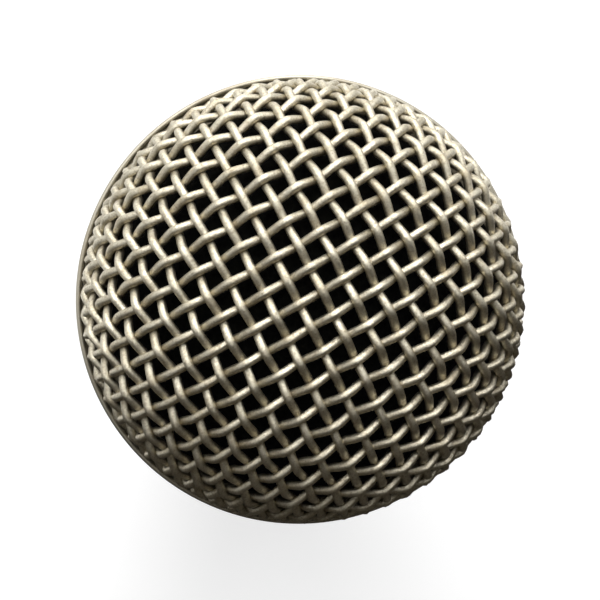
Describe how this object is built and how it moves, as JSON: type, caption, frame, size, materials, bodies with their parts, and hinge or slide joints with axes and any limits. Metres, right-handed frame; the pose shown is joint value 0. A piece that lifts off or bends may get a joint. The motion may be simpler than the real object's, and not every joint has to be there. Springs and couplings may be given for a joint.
{
  "type": "handheld dynamic microphone",
  "caption": "Handheld dynamic vocal microphone with a woven wire ball grille that unscrews, a floating moving-coil cartridge and a connector in its tail.",
  "frame": {"origin": "centre of the tail's rim", "axes": "+Z along the microphone's own axis from the tail to the ball; the insert screw faces -Y"},
  "size_m": [0.0512, 0.0512, 0.162],
  "materials": {
    "nickel_wire": "satin nickel plate, slightly tarnished",
    "nickel_band": "satin nickel plate",
    "foam": "open-cell black foam",
    "grey_paint": "matt enamel",
    "black_plastic": "matt",
    "tinned_brass": "tinned",
    "steel": "plain",
    "magnet": "nickel plated",
    "copper_wire": "enamelled copper",
    "rubber": "matt",
    "clear_film": "thin polyester film",
    "felt": "woven",
    "lead_blue": "insulation",
    "lead_green": "insulation",
    "lead_black": "insulation",
    "lead_red": "insulation",
    "lead_yellow": "insulation"
  },
  "bodies": {
    "handle": {"handle": "grey_paint", "connector_insert": "black_plastic", "contact_pin_1": "tinned_brass", "contact_pin_2": "tinned_brass", "contact_pin_3": "tinned_brass", "insert_screw": "steel", "ground_tag": "tinned_brass", "transformer_core": "steel", "transformer_bobbin": "black_plastic", "transformer_winding": "copper_wire", "transformer_cradle": "rubber", "shock_mount": "rubber", "cartridge_lead_1": "lead_blue", "cartridge_lead_2": "lead_green", "pin_lead_1": "lead_black", "pin_lead_2": "lead_red", "pin_lead_3": "lead_yellow"},
    "foam": {"front_foam": "foam", "rear_foam": "foam"},
    "grille": {"front_mesh": "nickel_wire", "rear_mesh": "nickel_wire", "grille_band": "nickel_band", "grille_collar": "nickel_band"},
    "cartridge": {"cartridge_housing": "black_plastic", "yoke_cup": "steel", "magnet": "magnet", "pole_piece": "steel", "diaphragm_rim": "steel", "cartridge_cap": "black_plastic", "cap_screen": "felt", "port_felt": "felt", "end_plate": "black_plastic", "terminal_lug_1": "tinned_brass", "terminal_lug_2": "tinned_brass"},
    "diaphragm": {"diaphragm": "clear_film", "voice_coil": "copper_wire"}
  },
  "joints": [
    {"name": "grille_advance", "type": "slide", "parent": "handle", "child": "foam", "axis": [0, 0, 1], "range_m": [0, 0.00376]},
    {"name": "grille_unscrew", "type": "hinge", "parent": "foam", "child": "grille", "pos_m": [0, 0, 0.1167], "axis": [0, 0, 1], "range_deg": [0, 1080]},
    {"name": "cartridge_float", "type": "slide", "parent": "handle", "child": "cartridge", "axis": [0, 0, 1], "range_m": [-0.0015, 0.0015], "stiffness_N_per_m": 2500, "deforming": ["shock_mount", "cartridge_lead_1", "cartridge_lead_2"]},
    {"name": "diaphragm_travel", "type": "slide", "parent": "cartridge", "child": "diaphragm", "axis": [0, 0, 1], "range_m": [-0.0003, 0.0003], "stiffness_N_per_m": 150}
  ],
  "couplings": [
    {"joint": "grille_advance", "follows": "grille_unscrew", "m_per_rad": 0.00019894}
  ]
}
